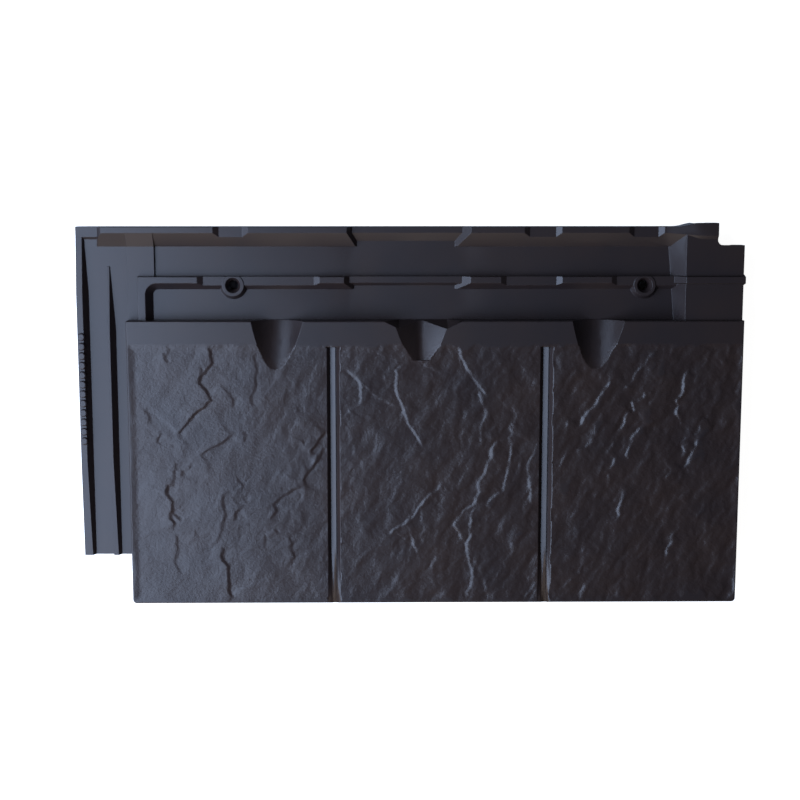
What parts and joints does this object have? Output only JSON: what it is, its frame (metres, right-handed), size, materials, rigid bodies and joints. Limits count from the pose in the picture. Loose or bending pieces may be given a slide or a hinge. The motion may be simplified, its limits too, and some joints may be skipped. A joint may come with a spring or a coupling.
{
  "type": "interlocking slate-look roof tile",
  "caption": "Flat interlocking clay roof tile: riven slate face, channelled head with weather bars, ribbed side-lock flange, cover lap and nail bosses.",
  "frame": {"origin": "middle of the tile's footprint, on the plane that it lies on", "axes": "+X across the roof towards the cover lap, +Y up the slope towards the head, +Z out of the face"},
  "size_m": [0.451, 0.261, 0.03],
  "materials": {
    "engobed_clay": "satin black slate engobe on fired clay"
  },
  "bodies": {
    "root": {"roof_tile": "engobed_clay"}
  },
  "joints": []
}
